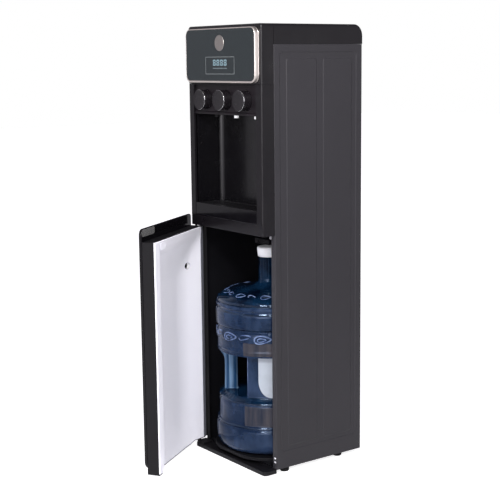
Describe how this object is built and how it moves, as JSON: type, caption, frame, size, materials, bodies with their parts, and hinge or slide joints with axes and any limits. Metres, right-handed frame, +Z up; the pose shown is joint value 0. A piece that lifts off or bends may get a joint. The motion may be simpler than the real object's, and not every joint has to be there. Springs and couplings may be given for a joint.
{
  "type": "bottom load water cooler",
  "caption": "Tall floor-standing water cooler that dispenses through push taps and draws from a bottle kept behind a hinged door in its base.",
  "frame": {"origin": "on the floor, centre of the footprint of the whole object with its door open", "axes": "+Z up, -Y towards the front with the taps, +X to the right as the user faces away from the back panel"},
  "size_m": [0.315, 0.5512, 1.075],
  "materials": {
    "steel_paint": "black powder coat, fine grain",
    "black_plastic": "moulded black, satin",
    "gloss_black": "moulded black, polished",
    "zinc_plate": "plain galvanised or stainless steel",
    "chrome": "bright plated",
    "champagne": "champagne coloured anodised rim",
    "display_glass": "dark teal grey glass-look panel, polished",
    "white_plastic": "white moulded plastic",
    "liner_white": "thin vacuum formed white sheet",
    "rubber": "black rubber",
    "felt": "grey felt",
    "bottle_blue": "clear blue polycarbonate",
    "foam": "cream foam",
    "circuit": "circuit board"
  },
  "bodies": {
    "cabinet": {"back_panel": "steel_paint", "base_pan": "zinc_plate", "base_sill": "black_plastic", "bottle_platform": "black_plastic", "bottle_probe": "white_plastic", "cavity_liner": "gloss_black", "cold_tank": "zinc_plate", "cold_tank_insulation": "foam", "compressor": "black_plastic", "condenser": "black_plastic", "control_board_box": "black_plastic", "cord_inlet_gland": "rubber", "display_glass": "display_glass", "display_module": "circuit", "display_trim": "champagne", "door_catch": "black_plastic", "door_switch": "white_plastic", "drain_spout": "white_plastic", "fascia_frame": "black_plastic", "flange_screw_lower": "chrome", "flange_screw_upper": "chrome", "foot_front_left": "rubber", "foot_front_right": "rubber", "foot_rear_left": "rubber", "foot_rear_right": "rubber", "head_shell": "black_plastic", "hinge_bracket_bottom": "black_plastic", "hinge_bracket_top": "black_plastic", "hot_tank": "zinc_plate", "mid_shelf": "zinc_plate", "probe_clip": "black_plastic", "rocker_bezel": "black_plastic", "roundel": "champagne", "side_panel_left": "steel_paint", "side_panel_right": "steel_paint", "suction_hose": "white_plastic", "tap_panel": "black_plastic", "tap_valve_left": "black_plastic", "tap_valve_middle": "white_plastic", "tap_valve_right": "white_plastic", "top_cover": "black_plastic", "water_pump": "black_plastic"},
    "door": {"door_panel": "gloss_black", "door_frame": "black_plastic", "door_liner": "liner_white", "door_bumper_pad": "felt", "door_strike": "zinc_plate"},
    "tap_left": {"tap_knob_left": "gloss_black", "tap_ring_left": "chrome"},
    "tap_middle": {"tap_knob_middle": "gloss_black", "tap_ring_middle": "chrome"},
    "tap_right": {"tap_knob_right": "gloss_black", "tap_ring_right": "chrome"},
    "drip_tray": {"drip_tray": "gloss_black"},
    "drip_grille": {"drip_grille": "black_plastic"},
    "bottle": {"bottle": "bottle_blue"},
    "bottle_cap": {"bottle_cap": "white_plastic"},
    "rocker_hot": {"rocker_hot": "gloss_black"},
    "rocker_cold": {"rocker_cold": "gloss_black"},
    "drain_plug": {"drain_plug": "black_plastic"}
  },
  "joints": [
    {"name": "door_hinge", "type": "hinge", "parent": "cabinet", "child": "door", "pos_m": [-0.135, -0.0222, 0.3], "axis": [0, 0, 1], "range_deg": [-53.9, 56.1]},
    {"name": "tap_left_push", "type": "slide", "parent": "cabinet", "child": "tap_left", "axis": [0, 1, 0], "range_m": [0, 0.006], "stiffness_N_per_m": 400},
    {"name": "tap_middle_push", "type": "slide", "parent": "cabinet", "child": "tap_middle", "axis": [0, 1, 0], "range_m": [0, 0.006], "stiffness_N_per_m": 400},
    {"name": "tap_right_push", "type": "slide", "parent": "cabinet", "child": "tap_right", "axis": [0, 1, 0], "range_m": [0, 0.006], "stiffness_N_per_m": 400},
    {"name": "drip_tray_slide", "type": "slide", "parent": "cabinet", "child": "drip_tray", "axis": [0, 1, 0], "range_m": [-0.1, 0]},
    {"name": "drip_grille_lift", "type": "slide", "parent": "drip_tray", "child": "drip_grille", "axis": [0, 0, 1], "range_m": [0, 0.03]},
    {"name": "bottle_slide", "type": "slide", "parent": "cabinet", "child": "bottle", "axis": [0, 1, 0], "range_m": [-0.055, 0]},
    {"name": "bottle_cap_pull", "type": "slide", "parent": "bottle", "child": "bottle_cap", "axis": [0, 0, 1], "range_m": [0, 0.03]},
    {"name": "rocker_hot_tilt", "type": "hinge", "parent": "cabinet", "child": "rocker_hot", "pos_m": [-0.093, 0.2521, 1.001], "axis": [1, 0, 0], "range_deg": [-12, 0]},
    {"name": "rocker_cold_tilt", "type": "hinge", "parent": "cabinet", "child": "rocker_cold", "pos_m": [-0.053, 0.2521, 1.001], "axis": [1, 0, 0], "range_deg": [-12, 0]},
    {"name": "drain_plug_pull", "type": "slide", "parent": "cabinet", "child": "drain_plug", "axis": [0, 1, 0], "range_m": [0, 0.02]}
  ]
}
